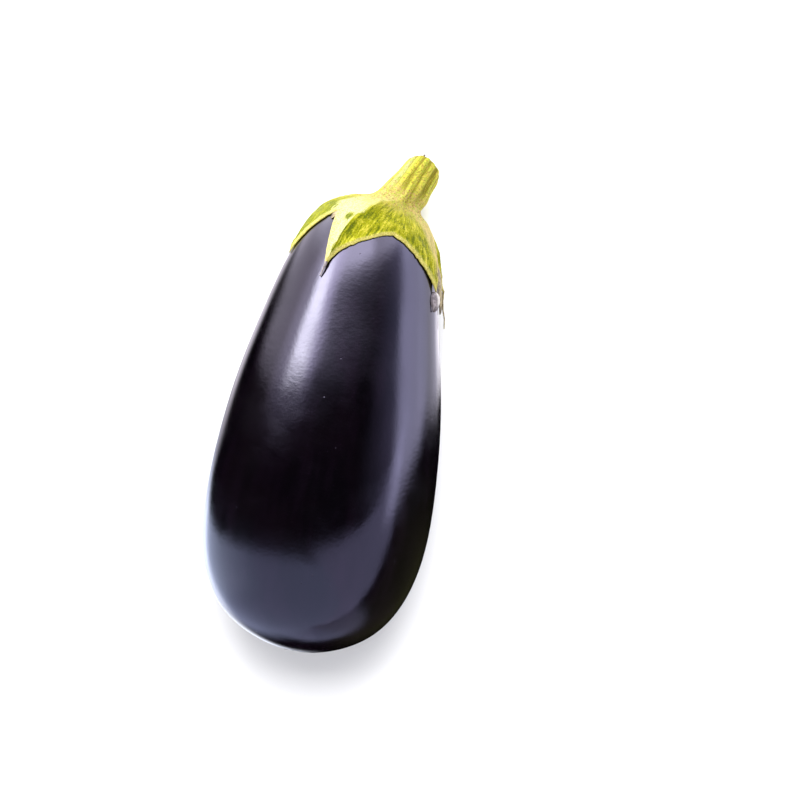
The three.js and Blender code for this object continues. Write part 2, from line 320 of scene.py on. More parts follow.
def make_fruit():
    mesh, places, layers = grid_skin(FRUIT_RINGS, FRUIT_SIDES, ["scar"])
    for vert, (ring, side) in places.items():
        reach = SKIN.length * ring / (FRUIT_RINGS - 1)
        turn = 2 * math.pi * side / FRUIT_SIDES
        from_tip = SKIN.length - reach
        vert.co = LAID_DOWN @ grown_point(reach, turn)
        vert.co.z = max(vert.co.z, 0)
        vert[layers["scar"]] = smoothstep(5.5, 2.2, from_tip + 0.8 * grain(3 * turn, from_tip))
    return finish_piece(mesh, "eggplant_fruit", "skin", "fruit")


# ---- the calyx and stem


def stem_at(share):
    """A place on the stem's path, and the stem's own directions there: along, right and front."""
    a, b, c = STEM_PATH
    place = a.lerp(b, share).lerp(b.lerp(c, share), share)
    along = (b.lerp(c, share) - a.lerp(b, share)).normalized()
    right = (Vector((1, 0, 0)) - along * along.x).normalized()
    return place, along, right, right.cross(along)


def stem_point(share, turn, radius, sink=0.0):
    """A point round the stem's path. The cut end slants, its front the longest."""
    place, along, right, front = stem_at(share)
    sink -= CUT_SLANT * radius / STEM_RADIUS * math.cos(turn) * smoothstep(STEM_FOOT, 1, share)
    return place + right * (radius * math.sin(turn)) + front * (radius * math.cos(turn)) - along * sink


class Column:
    """One line of the calyx from the stem to the margin, `across` its lobe from -1 to 1, notch to notch."""

    def __init__(self, side):
        index, step = divmod(side, LOBE_SIDES)
        index = int(index)
        self.lobe = LOBES[index]
        self.across = 2 * step / LOBE_SIDES - 1
        before = NOTCHES[index]
        after = NOTCHES[(index + 1) % len(NOTCHES)]
        if index + 1 == len(NOTCHES):
            after = (after[0] + 360, after[1])
        notch = before if self.across < 0 else after
        self.notch_reach = notch[1]
        spread = abs(self.across) ** EDGE_SPREAD
        fullness = self.lobe["left"] if self.across < 0 else self.lobe["right"]
        pointed = (1 - spread**fullness) ** TIP_SHARPNESS
        self.turn = math.radians(mix(before[0], after[0], (self.across + 1) / 2))
        edge_turn = math.radians(mix(self.lobe["tip"], notch[0], spread))
        ragged = MARGIN_RAGS[0] * grain(side * 0.31, seed=4) + MARGIN_RAGS[1] * grain(side * 0.9, seed=5)
        edge_reach = mix(notch[1], self.lobe["reach"], pointed) + ragged * min(1, 4 * abs(self.across))
        self.start = Vector((CAP_CENTRE + CAP_RADIUS * math.sin(self.turn), CAP_RADIUS * math.cos(self.turn)))
        self.edge = Vector((math.sin(edge_turn), math.cos(edge_turn))) * edge_reach
        self.length = (self.edge - self.start).length

    def from_ridge(self, share):
        """How far across the lobe from its ridge, -1 and 1 at the notches."""
        ridge = self.lobe["ridge"] + self.lobe["drift"] * (1 - smoothstep(0, DRIFT_END, share))
        away = self.across - ridge
        return away / (1 - ridge if away > 0 else 1 + ridge)

    def place(self, share):
        """Reach, turn, lift off the skin, thickness and nearness to the tip, at a share of the way out."""
        spot = self.start.lerp(self.edge, share)
        reach = spot.length
        past = (reach - self.notch_reach) / (self.lobe["reach"] - self.notch_reach)
        past = min(max(past, 0), 1)
        lift = SKIN_GAP + MARGIN_LIFT * share**2 + self.lobe["lift"] * past**3
        side = abs(self.from_ridge(share))
        width = RIDGE_WIDTH * (1 + RIDGE_SPREAD * (1 - share) ** 2)
        ridge = mix((1 - side**1.3) ** 1.5, math.exp(-((side / width) ** 2)), RIDGE_SHARPNESS)
        risen = smoothstep(self.lobe["rise"], self.lobe["rise"] + 0.6, share)
        fold = self.lobe["fold"] * ridge * risen * (1 - 0.6 * past)
        thick = mix(CAP_THICKNESS, MARGIN_THICKNESS, share) + fold * (1 - share**4)
        return reach, math.atan2(spot.x, spot.y), lift, thick, past

    def under(self, share):
        """A point of the lobes' underside."""
        reach, turn, lift, _, _ = self.place(share)
        return grown_point(reach, turn, lift)

    def core(self, share):
        """A point of the underside within the stem's foot."""
        spot = Vector((CAP_CENTRE, 0)).lerp(self.start, share)
        return grown_point(spot.length, math.atan2(spot.x, spot.y), SKIN_GAP)

    def flow(self, along):
        """A place in the fibres' pattern. They run down the column."""
        round_x, round_y = FLOW_RADIUS * math.sin(self.turn), FLOW_RADIUS * math.cos(self.turn)
        return Vector((round_x, round_y, along / FLOW_STRETCH))


class Calyx:
    """The calyx and stem as a closed skin of columns. Each point has a place, and marks for the material."""

    def __init__(self):
        self.sides = LOBE_SIDES * len(LOBES)
        self.columns = [Column(side) for side in range(self.sides)]
        self.margin = kdtree.KDTree(self.sides * MARGIN_DETAIL)
        for i in range(self.sides * MARGIN_DETAIL):
            self.margin.insert(Column(i / MARGIN_DETAIL).under(1), i)
        self.margin.balance()

    def cap(self, column, share):
        """The upper side of the lobes."""
        reach, turn, lift, thick, past = column.place(share)
        flat = grown_point(reach, turn, lift)
        inward = self.margin.find(flat)[2]
        flow = column.flow(share * column.length)
        body = smoothstep(0, 1.2, inward)
        edge = 1 - MARGIN_BEVEL * smoothstep(1.1, 0, inward)
        fibres = grain(*(along / size for along, size in zip(flow, FIBRE_SIZE)), seed=7)
        lumps = grain(flat.x / LUMP_SIZE, flat.y / LUMP_SIZE, flat.z / LUMP_SIZE, seed=8)
        warts = max(0, grain(flat.x / WART_SIZE, flat.y / WART_SIZE, flat.z / WART_SIZE, seed=9))
        rim = RIM_HEIGHT * math.exp(-(((inward - 0.8) / 0.6) ** 2))
        valley = VALLEY_DEPTH * smoothstep(5.5, 2.2, inward) * smoothstep(0.9, 2.2, inward)
        relief = (FIBRE_HEIGHT * fibres + LUMP_HEIGHT * lumps) * body
        relief += (WART_HEIGHT + 0.1 * (1 - body)) * warts + rim - valley
        off_reach = (reach - GREEN_SPOT[0]) / GREEN_SPOT_SIZE[0]
        off_turn = (math.degrees(turn) - GREEN_SPOT[1]) / GREEN_SPOT_SIZE[1]
        spot = math.exp(-(off_reach**2 + off_turn**2) * (1 + 0.5 * lumps))
        far_side = 0.9 * smoothstep(-45, -62, math.degrees(turn)) * smoothstep(0.15, 0.55, share)
        # Painted shade: a darker green band beside each ridge, on its side away from the lamp.
        shade, middle, width = RIDGE_SHADE
        painted_ridge_shade = shade * math.exp(-(((column.from_ridge(share) - middle) / width) ** 2))
        painted_ridge_shade *= smoothstep(0.2, 0.5, share)
        # The green mark is partly the calyx's own green mottle and spot, partly painted shade where the
        # relief is low and beside the ridges.
        green = 0.4 - 0.8 * fibres - 0.5 * lumps + spot + far_side + painted_ridge_shade
        # Painted light: the side that faces the lamp is painted paler.
        lit_side_edge = LIT_SIDE_EDGE_CAP + LIT_SIDE_DRIFT * (1 - smoothstep(0, DRIFT_END, share))
        marks = dict(
            margin=smoothstep(1.5, 0.6, inward + 0.4 * warts),
            painted_lit_side=self.painted_lit_side(column, lit_side_edge, lumps) * (1 - spot),
            blush=self.blush(column, share) * (1 - 0.5 * past),
            dry=smoothstep(0.92, 0.985, past + 0.02 * fibres),
            green_and_shade=min(max(green, 0), 1) * body * smoothstep(0, 0.3, share),
            foot=smoothstep(0.42, 0.0, share),
        )
        return grown_point(reach, turn, lift + thick * edge + relief), marks, flow

    def painted_lit_side(self, column, edge, waver):
        """How much painted light pales the side that faces left and up, towards the lamp. It ends at the
        edge, in degrees of turn.
        """
        turn = (math.degrees(column.turn) + 8 * waver + 120) % 360 - 120
        return smoothstep(edge + 8, edge - 6, turn) * mix(0.1, 1, smoothstep(-64, -44, turn))

    def blush(self, column, share):
        """How tan the calyx is. It is past the ridge of the lobe on the right."""
        wider = BLUSH_SPREAD * (1 - smoothstep(0, DRIFT_END, share))
        waver = 0.06 * grain(5 * column.turn, seed=18)
        past_ridge = smoothstep(-0.32, 0.05, column.from_ridge(share) + wider + waver)
        return past_ridge if column.lobe is LOBES[1] else 0

    def groove(self, column, share):
        """How deep in a groove a point of the stem is, from 0 to 1."""
        turn = math.degrees(column.turn) + 6 * (share - 0.75) + 3 * grain(2 * share, column.turn, seed=10)
        deep = 0
        for place, depth, width in GROOVES:
            away = (turn - place + 180) % 360 - 180
            deep = max(deep, depth * math.exp(-((away / width) ** 2)))
        return deep

    def stem(self, column, share):
        """The ribbed side of the stem, up to the rounded edge of its cut."""
        spread = STEM_SPREAD * ((1 - share) / (1 - STEM_FOOT)) ** 1.5
        groove = self.groove(column, share)
        turn = column.turn
        fine = grain(14 * math.sin(turn), 14 * math.cos(turn), 5 * share, seed=11)
        finer = grain(34 * math.sin(turn), 34 * math.cos(turn), 16 * share, seed=12)
        ribs = STEM_RIB * math.cos(math.pi * column.across) - GROOVE_DEPTH * groove
        radius = (STEM_RADIUS + spread) * (1 + ribs + 0.014 * fine + 0.009 * finer)
        radius += STEM_END_SWELL * math.exp(-(((share - 0.86) / 0.16) ** 2))
        from_end = min(2 * (1 - share) * STEM_LENGTH, EDGE_ROUNDING)
        radius -= EDGE_ROUNDING - math.sqrt(EDGE_ROUNDING**2 - (EDGE_ROUNDING - from_end) ** 2)
        # Painted shade darkens the grooves, and painted light pales the side that faces the lamp.
        marks = dict(
            stem=1.0,
            green_and_shade=smoothstep(0.3, 0.85, groove + 0.35 * fine + 0.25 * finer),
            painted_lit_side=self.painted_lit_side(column, LIT_SIDE_EDGE_STEM, fine),
            cork=smoothstep(0.98, 1.0, share + 0.012 * fine),
        )
        return stem_point(share, turn, radius), marks, column.flow(STEM_FLOW * share)

    def flare(self, column, share):
        """The curve from the stem's foot out over the cap."""
        foot, foot_marks, _ = self.stem(column, STEM_FOOT)
        down = (foot - self.stem(column, STEM_FOOT + 0.05)[0]).normalized()
        rim, rim_marks, _ = self.cap(column, 0)
        outward = (self.cap(column, 0.05)[0] - rim).normalized()
        pull = 0.45 * (foot - rim).length
        b, c = foot + down * pull, rim - outward * pull
        left = 1 - share
        point = foot * left**3 + b * (3 * left**2 * share) + c * (3 * left * share**2) + rim * share**3
        marks = dict(
            stem=left,
            foot=smoothstep(0.0, 0.5, share),
            green_and_shade=mix(foot_marks["green_and_shade"], rim_marks["green_and_shade"], share),
            blush=self.blush(column, 0) * share,
            painted_lit_side=mix(foot_marks["painted_lit_side"], rim_marks["painted_lit_side"], share),
        )
        flow = column.flow(STEM_FLOW * STEM_FOOT * left)
        bump = 4 * share * left * grain(point.x / 1.5, point.y / 1.5, point.z / 1.5, seed=13)
        return point + 0.16 * bump * (down - outward).cross(down).normalized(), marks, flow

    def cut(self, column, radius, sink):
        """The face of the cut."""
        x, y = 1.4 * radius * math.sin(column.turn), 1.4 * radius * math.cos(column.turn)
        rough = 0.12 * grain(x, y, seed=14)
        marks = dict(cut=1.0, pith=smoothstep(4.2, 3.4, radius), hole=smoothstep(1.35, 1.0, radius))
        return stem_point(1, column.turn, radius, sink + rough), marks, Vector()

    def rows(self):
        """A function of the column for each ring, from the middle of the cut to under the stem."""
        rows = [lambda column: self.cut(column, 0, PITH_HOLE_DEPTH)]
        for radius, sink in CUT_RINGS:
            rows.append(lambda column, r=radius, s=sink: self.cut(column, r, s))
        for i in range(STEM_RINGS):
            rows.append(lambda column, s=mix(1, STEM_FOOT, (i / STEM_RINGS) ** 1.6): self.stem(column, s))
        for i in range(FLARE_RINGS):
            rows.append(lambda column, s=i / FLARE_RINGS: self.flare(column, s))
        for i in range(CAP_RINGS + 1):
            rows.append(lambda column, s=i / CAP_RINGS: self.cap(column, s))
        for i in range(UNDER_RINGS, -1, -1):
            rows.append(lambda column, s=i / UNDER_RINGS: (column.under(s), dict(under=1.0), column.flow(s)))
        for i in range(CORE_RINGS - 1, -1, -1):
            rows.append(lambda column, s=i / CORE_RINGS: (column.core(s), dict(under=1.0), column.flow(s)))
        return rows


def make_calyx():
    calyx = Calyx()
    rows = calyx.rows()
    end_marks = ["cut", "pith", "hole", "cork", "margin", "dry", "under"]
    side_marks = ["stem", "foot", "green_and_shade", "painted_lit_side", "blush"]
    mesh, places, layers = grid_skin(len(rows), calyx.sides, end_marks + side_marks)
    for vert, (ring, side) in places.items():
        point, marks, flow = rows[ring](calyx.columns[side])
        vert.co = LAID_DOWN @ point
        vert[layers["flow"]] = flow * MM
        for name, value in marks.items():
            vert[layers[name]] = value
    return finish_piece(mesh, "calyx_with_stem", "calyx", "calyx_and_stem")


# ---- the calyx's down


def make_down(calyx):
    """Fine pale hairs over the calyx and stem, thicker at the margins."""
    data = calyx.data
    marks = {name: data.attributes[name].data for name in ("cut", "cork", "margin", "under", "foot", "dry")}
    weights = []
    for face in data.polygons:
        corners = [data.vertices[i].co for i in sorted(face.vertices)]
        area = (corners[-1] - corners[0]).cross(corners[2] - corners[1]).length / 2
        value = {name: marks[name][min(face.vertices)].value for name in marks}
        bare = value["under"] > 0 or value["cut"] > 0
        thickness = 1 + 2.5 * value["margin"] + 0.4 * value["foot"] - 0.8 * value["cork"]
        weights.append(0 if bare else area * thickness)
    chosen = random.choices(data.polygons, weights=weights, k=HAIRS)
    down = bpy.data.meshes.new("calyx_down")
    whole = bmesh.new()
    for first in range(0, HAIRS, HAIR_BATCH):
        batch = bmesh.new()
        for face in chosen[first : first + HAIR_BATCH]:
            corners = [data.vertices[i].co for i in sorted(face.vertices)]
            shares = [random.random() + 0.05 for _ in corners]
            root = sum((c * s for c, s in zip(corners, shares)), Vector()) / sum(shares)
            stray = Vector((random.gauss(0, 1), random.gauss(0, 1), random.gauss(0, 1)))
            aim = (face.normal + HAIR_STRAY * stray).normalized()
            length = random.uniform(*HAIR_LENGTH) * MM
            middle = root + aim * (length / 2 - HAIR_ROOT * MM)
            turned = aim.to_track_quat("Z", "Y").to_matrix().to_4x4()
            thick = HAIR_THICKNESS * MM
            bmesh.ops.create_cone(
                batch, cap_ends=True, segments=3, radius1=thick / 2, radius2=thick / 10, depth=length,
                matrix=Matrix.Translation(middle) @ turned,
            )
        batch.to_mesh(down)
        batch.free()
        whole.from_mesh(down)
    bpy.data.meshes.remove(down)
    return finish_piece(whole, "calyx_down", "calyx")


# ---- dried ends


def make_husk(name, reach, length, turn, half_width, low, high, lean=0.0, tan=0.0):
    """A dried, curled scrap on the skin, from its low left edge to its high right edge."""
    mesh = bmesh.new()
    rim, tint, bright = (mesh.verts.layers.float.new(mark) for mark in ("rim", "tan", "bright"))
    bmesh.ops.create_grid(mesh, x_segments=18, y_segments=26, size=1)
    for vert in mesh.verts:
        across, down = vert.co.x, (1 - vert.co.y) / 2
        body = math.sin(math.pi * down**0.85) if 0 < down < 1 else 0
        width = half_width * (0.04 + body**0.7) * (1 + 0.12 * grain(6 * down, across, seed=17))
        place = reach + length * down
        side = math.radians(turn) + (across * width + lean * down) / SKIN.profile_at(place)[0][1]
        raised = mix(low, high, ((across + 1) / 2) ** 1.2 * (0.25 + 0.75 * body**0.5))
        out = raised + 0.35 * body * (1 - across**2) + 0.12 * grain(3 * across, 6 * down, seed=15)
        # Dark edges, partly the scrap's own dark edge and partly painted shade: the low left edge and lower
        # end are painted dark where the gap at the skin is shaded, with a thin dark line at the right edge.
        beside = max(smoothstep(0.35, 0.85, -across), smoothstep(0.95, 1, across))
        vert[rim] = max(beside, smoothstep(0.78, 0.95, down))
        # Painted highlight: the upper right of the scrap is painted pale.
        vert[bright] = smoothstep(0.1, 0.7, across) * smoothstep(0.85, 0.5, down)
        vert[tint] = tan
        vert.co = LAID_DOWN @ grown_point(place, side, out)
    bmesh.ops.recalc_face_normals(mesh, faces=mesh.faces)
    bmesh.ops.solidify(mesh, geom=mesh.faces[:], thickness=HUSK_THICKNESS * MM)
    return finish_piece(mesh, name, "calyx")


def make_strand(name, spots, thickness, tan=0.0):
    """A thin dried strand along its spots, thickest at the first."""
    mesh = bmesh.new()
    tint = mesh.verts.layers.float.new("tan")
    sides, rings = 10, 8 * (len(spots) - 1) + 1
    bmesh.ops.create_cone(mesh, cap_ends=True, segments=sides, radius1=1, radius2=1, depth=2)
    lengths = [edge for edge in mesh.edges if abs(edge.verts[0].co.z - edge.verts[1].co.z) > 1]
    bmesh.ops.subdivide_edges(mesh, edges=lengths, cuts=rings - 2, use_grid_fill=False)
    points = [grown_point(reach, math.radians(turn), out) for reach, turn, out in spots]
    for vert in mesh.verts:
        share = (vert.co.z + 1) / 2
        place = share * (len(points) - 1)
        i = min(int(place), len(points) - 2)
        middle = points[i].lerp(points[i + 1], mix(place - i, smoothstep(0, 1, place - i), 0.5))
        along = (points[i + 1] - points[i]).normalized()
        side = along.cross(Vector((0, 0, 1))).normalized()
        knotty = 1 + 0.35 * grain(9 * share, vert.co.x, vert.co.y, seed=16)
        radius = thickness / 2 * (1 - 0.55 * share) * knotty
        away = side * vert.co.x + side.cross(along) * vert.co.y
        vert.co = LAID_DOWN @ (middle + away * radius)
        vert[tint] = tan
    return finish_piece(mesh, name, "calyx")


def make_crumb():
    """A dark dried crumb on the front edge of the cut."""
    mesh = bmesh.new()
    bmesh.ops.create_icosphere(mesh, subdivisions=3, radius=1)
    turn, radius, sink = CRUMB_PLACE
    place = stem_point(1, math.radians(turn), radius, sink)
    for vert in mesh.verts:
        rough = 1 + 0.25 * grain(vert.co.x * 2, vert.co.y * 2, vert.co.z * 2, seed=19)
        vert.co = LAID_DOWN @ (place + vert.co * (CRUMB_SIZE * rough))
    return finish_piece(mesh, "cut_crumb", "calyx")


# ---- shader helpers


def add_node(tree, kind, inputs=None, **settings):
    made = tree.nodes.new(kind)
    for key, value in settings.items():
        setattr(made, key, value)
    for key, value in (inputs or {}).items():
        if isinstance(value, bpy.types.NodeSocket):
            tree.links.new(value, made.inputs[key])
        else:
            made.inputs[key].default_value = value
    return made


def maths(tree, operation, *values):
    inputs = {i: value for i, value in enumerate(values)}
    return add_node(tree, "ShaderNodeMath", inputs, operation=operation).outputs[0]


def ramp_range(tree, value, low, high, low_out=0.0, high_out=1.0):
    """A soft step of the value from low to high."""
    inputs = {"Value": value, "From Min": low, "From Max": high, "To Min": low_out, "To Max": high_out}
    made = add_node(tree, "ShaderNodeMapRange", inputs, interpolation_type="SMOOTHSTEP", clamp=True)
    return made.outputs["Result"]


def noise_value(tree, place, scale, detail=2.0, roughness=0.5):
    inputs = {"Vector": place, "Scale": scale, "Detail": detail, "Roughness": roughness}
    return add_node(tree, "ShaderNodeTexNoise", inputs).outputs["Fac"]


def speckle_group():
    """Soft speckles of one size, shared by the materials. Their mask rises from 0 at Low to 1 at High."""
    group = bpy.data.node_groups.new("speckle", "ShaderNodeTree")
    group.interface.new_socket("Place", in_out="INPUT", socket_type="NodeSocketVector")
    for name in ("Scale", "Low", "High"):
        group.interface.new_socket(name, in_out="INPUT", socket_type="NodeSocketFloat")
    group.interface.new_socket("Mask", in_out="OUTPUT", socket_type="NodeSocketFloat")
    given = group.nodes.new("NodeGroupInput").outputs
    grains = noise_value(group, given["Place"], given["Scale"], 3, 0.62)
    mask = ramp_range(group, grains, given["Low"], given["High"])
    group.links.new(mask, group.nodes.new("NodeGroupOutput").inputs["Mask"])
    return group


def speckle(tree, place, scale, low, high):
    inputs = {"Place": place, "Scale": scale, "Low": low, "High": high}
    return add_node(tree, "ShaderNodeGroup", inputs, node_tree=SPECKLE).outputs["Mask"]


def mix_colour(tree, share, a, b):
    made = add_node(tree, "ShaderNodeMix", data_type="RGBA", clamp_factor=True)
    for socket, value in ((made.inputs[0], share), (made.inputs[6], a), (made.inputs[7], b)):
        if isinstance(value, bpy.types.NodeSocket):
            tree.links.new(value, socket)
        elif isinstance(value, tuple) and len(value) == 3:
            socket.default_value = (*value, 1)
        else:
            socket.default_value = value
    return made.outputs[2]


def attribute(tree, name):
    return add_node(tree, "ShaderNodeAttribute", attribute_name=name).outputs["Fac"]


def new_material(name, roughness):
    """A material, its tree and its Principled shader."""
    material = bpy.data.materials.new(name)
    material.use_nodes = True
    tree = material.node_tree
    shader = tree.nodes["Principled BSDF"]
    shader.inputs["Roughness"].default_value = roughness
    return material, tree, shader


# ---- materials


def skin_material():
    """Glossy skin: nearly black, faintly streaked and clouded, with pores and a corky blossom scar."""
    material, tree, shader = new_material("aubergine_skin", 0.14)
    shader.inputs["IOR"].default_value = 1.5
    shader.inputs["Specular Tint"].default_value = (0.92, 0.88, 1.0, 1)
    place = add_node(tree, "ShaderNodeTexCoord").outputs["Object"]
    along = add_node(tree, "ShaderNodeMapping", {"Vector": place, "Scale": (1, 0.12, 1)}).outputs["Vector"]
    streaks = ramp_range(tree, noise_value(tree, along, 110, 4, 0.6), 0.4, 0.7)
    streaked = mix_colour(tree, streaks, (0.0024, 0.0014, 0.003), (0.0085, 0.004, 0.0098))
    colour = mix_colour(tree, speckle(tree, place, 26, 0.42, 0.7), streaked, (0.0046, 0.0022, 0.0046))
    flecks = add_node(tree, "ShaderNodeTexVoronoi", {"Vector": place, "Scale": 260.0}, feature="F1")
    chosen = add_node(tree, "ShaderNodeSeparateColor", {"Color": flecks.outputs["Color"]}).outputs[0]
    spot = ramp_range(tree, flecks.outputs["Distance"], 0.1, 0.05)
    spot = maths(tree, "MULTIPLY", spot, maths(tree, "GREATER_THAN", chosen, 0.85))
    colour = mix_colour(tree, maths(tree, "MULTIPLY", spot, 0.3), colour, (0.06, 0.045, 0.055))
    scar = attribute(tree, "scar")
    bark = noise_value(tree, place, 900, 3, 0.7)
    brown = mix_colour(tree, bark, (0.07, 0.035, 0.015), (0.28, 0.17, 0.09))
    tree.links.new(mix_colour(tree, scar, colour, brown), shader.inputs["Base Color"])
    wax = noise_value(tree, place, 45, 4, 0.6)
    rough = ramp_range(tree, wax, 0.35, 0.68, 0.11, 0.2)
    rough = maths(tree, "ADD", rough, maths(tree, "MULTIPLY", spot, 0.1))
    rough = maths(tree, "MAXIMUM", rough, maths(tree, "MULTIPLY", scar, 0.75))
    tree.links.new(rough, shader.inputs["Roughness"])
    girth = add_node(tree, "ShaderNodeMapping", {"Vector": place, "Scale": (0.5, 1, 0.5)}).outputs["Vector"]
    wrinkles = noise_value(tree, girth, 850, 3, 0.6)
    dimples = noise_value(tree, place, 620, 3, 0.6)
    height = maths(tree, "ADD", maths(tree, "MULTIPLY", wrinkles, 0.25), dimples)
    height = maths(tree, "SUBTRACT", height, maths(tree, "MULTIPLY", spot, 1.5))
    height = maths(tree, "ADD", height, maths(tree, "MULTIPLY", maths(tree, "MULTIPLY", scar, bark), 12.0))
    bump = add_node(tree, "ShaderNodeBump", {"Height": height, "Strength": 0.6, "Distance": 0.00005})
    tree.links.new(bump.outputs["Normal"], shader.inputs["Normal"])
    return material


def calyx_material():
    """Mottled yellow-green flesh, with a pale margin, tan freckles at the stem's foot and a corky cut end.
    Painted light pales the side that faces the lamp at the upper left, and painted shade darkens the green
    beside the ridges, in the stem's grooves and where the relief is low.
    """
    material, tree, shader = new_material("calyx_green", 0.5)
    shader.inputs["Specular IOR Level"].default_value = 0.1
    shader.inputs["Sheen Weight"].default_value = 0.03
    shader.inputs["Sheen Roughness"].default_value = 0.4
    shader.inputs["Sheen Tint"].default_value = (1.0, 0.98, 0.8, 1)
    place = add_node(tree, "ShaderNodeTexCoord").outputs["Object"]
    flow = add_node(tree, "ShaderNodeAttribute", attribute_name="flow").outputs["Vector"]
    stem, foot, margin = attribute(tree, "stem"), attribute(tree, "foot"), attribute(tree, "margin")
    green_and_shade, dry, cut = attribute(tree, "green_and_shade"), attribute(tree, "dry"), attribute(tree, "cut")
    painted_lit_side = attribute(tree, "painted_lit_side")
    on_lobes, on_stem = noise_value(tree, flow, 2700, 3, 0.65), noise_value(tree, flow, 1500, 3, 0.65)
    near = maths(tree, "MAXIMUM", foot, stem)
    fibres = ramp_range(tree, near, 0.2, 0.8, on_lobes, on_stem)
    blotch = noise_value(tree, place, 260, 4, 0.65)
    speck = noise_value(tree, place, 1700, 3, 0.7)
    depth = maths(tree, "ADD", fibres, maths(tree, "MULTIPLY", speck, 0.7))
    # This mark darkens the colour: partly the calyx's own green mottle and spot, partly painted shade beside
    # the ridges, in the grooves and where the relief is low.
    depth = maths(tree, "SUBTRACT", depth, maths(tree, "MULTIPLY", green_and_shade, 0.21))
    depth = maths(tree, "ADD", depth, maths(tree, "MULTIPLY", blotch, 0.35))
    depth = maths(tree, "ADD", depth, maths(tree, "MULTIPLY", stem, 0.13))
    colour = mix_colour(tree, ramp_range(tree, depth, 0.72, 0.94), (0.115, 0.15, 0.001), (0.37, 0.37, 0.004))
    colour = mix_colour(tree, ramp_range(tree, depth, 0.94, 1.14), colour, (0.7, 0.63, 0.06))
    # Painted light: the side that faces the lamp, at the upper left, is painted pale cream.
    lit_paleness = maths(tree, "ADD", painted_lit_side, maths(tree, "MULTIPLY", maths(tree, "SUBTRACT", depth, 0.95), 1.2))
    lit_wash = maths(tree, "MULTIPLY", ramp_range(tree, lit_paleness, 0.3, 1.0), 0.8)
    lit_cream = mix_colour(tree, ramp_range(tree, speck, 0.4, 0.54), (0.5, 0.49, 0.16), (0.82, 0.81, 0.44))
    lit_cream = mix_colour(tree, maths(tree, "MULTIPLY", stem, 0.8), lit_cream, (0.43, 0.52, 0.25))
    colour = mix_colour(tree, lit_wash, colour, lit_cream)
    blushed = maths(tree, "MULTIPLY", attribute(tree, "blush"), ramp_range(tree, depth, 0.75, 1.0, 0.5, 1.0))
    colour = mix_colour(tree, blushed, colour, (0.76, 0.6, 0.25))
    colour = mix_colour(tree, maths(tree, "MULTIPLY", foot, 0.4), colour, (0.72, 0.62, 0.13))
    amount = maths(tree, "ADD", foot, maths(tree, "MULTIPLY", stem, 0.35))
    freckle = maths(tree, "MULTIPLY", speckle(tree, place, 1100, 0.47, 0.54), amount)
    colour = mix_colour(tree, freckle, colour, (0.6, 0.4, 0.15))
    leafy = maths(tree, "MULTIPLY", near, 0.65)
    leafy = maths(tree, "MULTIPLY", speckle(tree, place, 620, 0.46, 0.58), leafy)
    colour = mix_colour(tree, leafy, colour, (0.46, 0.56, 0.05))
    # Painted shade: the stem's grooves are painted dark olive.
    broken = ramp_range(tree, fibres, 0.65, 0.45, 0.4, 1.0)
    groove = maths(tree, "MULTIPLY", maths(tree, "MULTIPLY", green_and_shade, stem), broken)
    colour = mix_colour(tree, groove, colour, (0.2, 0.17, 0.006))
    dotted = ramp_range(tree, near, 0.0, 1.0, 0.15, 0.8)
    dots = maths(tree, "MULTIPLY", speckle(tree, place, 1500, 0.54, 0.6), dotted)
    colour = mix_colour(tree, dots, colour, (0.27, 0.17, 0.02))
    edge = mix_colour(tree, ramp_range(tree, speck, 0.35, 0.65), (0.6, 0.48, 0.09), (0.95, 0.86, 0.32))
    colour = mix_colour(tree, maths(tree, "MULTIPLY", margin, 0.75), colour, edge)
    husk = mix_colour(tree, ramp_range(tree, speck, 0.35, 0.65), (0.09, 0.06, 0.035), (0.42, 0.3, 0.19))
    colour = mix_colour(tree, dry, colour, husk)
    cork = maths(tree, "MULTIPLY", attribute(tree, "cork"), speckle(tree, place, 1250, 0.35, 0.6))
    wood = mix_colour(tree, ramp_range(tree, speck, 0.3, 0.7), (0.2, 0.11, 0.04), (0.5, 0.36, 0.18))
    pith = mix_colour(tree, ramp_range(tree, speck, 0.3, 0.7), (0.45, 0.4, 0.2), (0.65, 0.6, 0.38))
    face = mix_colour(tree, attribute(tree, "pith"), wood, pith)
    face = mix_colour(tree, attribute(tree, "hole"), face, (0.04, 0.04, 0.012))
    colour = mix_colour(tree, maths(tree, "MAXIMUM", cut, cork), colour, mix_colour(tree, cut, wood, face))
    tree.links.new(colour, shader.inputs["Base Color"])
    rough = ramp_range(tree, speck, 0.3, 0.7, 0.42, 0.6)
    rough = maths(tree, "ADD", rough, maths(tree, "MULTIPLY", cut, 0.25))
    tree.links.new(rough, shader.inputs["Roughness"])
    height = maths(tree, "ADD", fibres, maths(tree, "MULTIPLY", speck, 0.8))
    bump = add_node(tree, "ShaderNodeBump", {"Height": height, "Strength": 0.8, "Distance": 0.0003})
    tree.links.new(bump.outputs["Normal"], shader.inputs["Normal"])
    return material


def down_material():
    """Fine hairs, paler and greener in patches."""
    material, tree, shader = new_material("pale_down", 0.5)
    place = add_node(tree, "ShaderNodeTexCoord").outputs["Object"]
    colour = mix_colour(tree, speckle(tree, place, 900, 0.35, 0.65), (0.66, 0.6, 0.13), (0.86, 0.8, 0.32))
    tree.links.new(colour, shader.inputs["Base Color"])
    return material


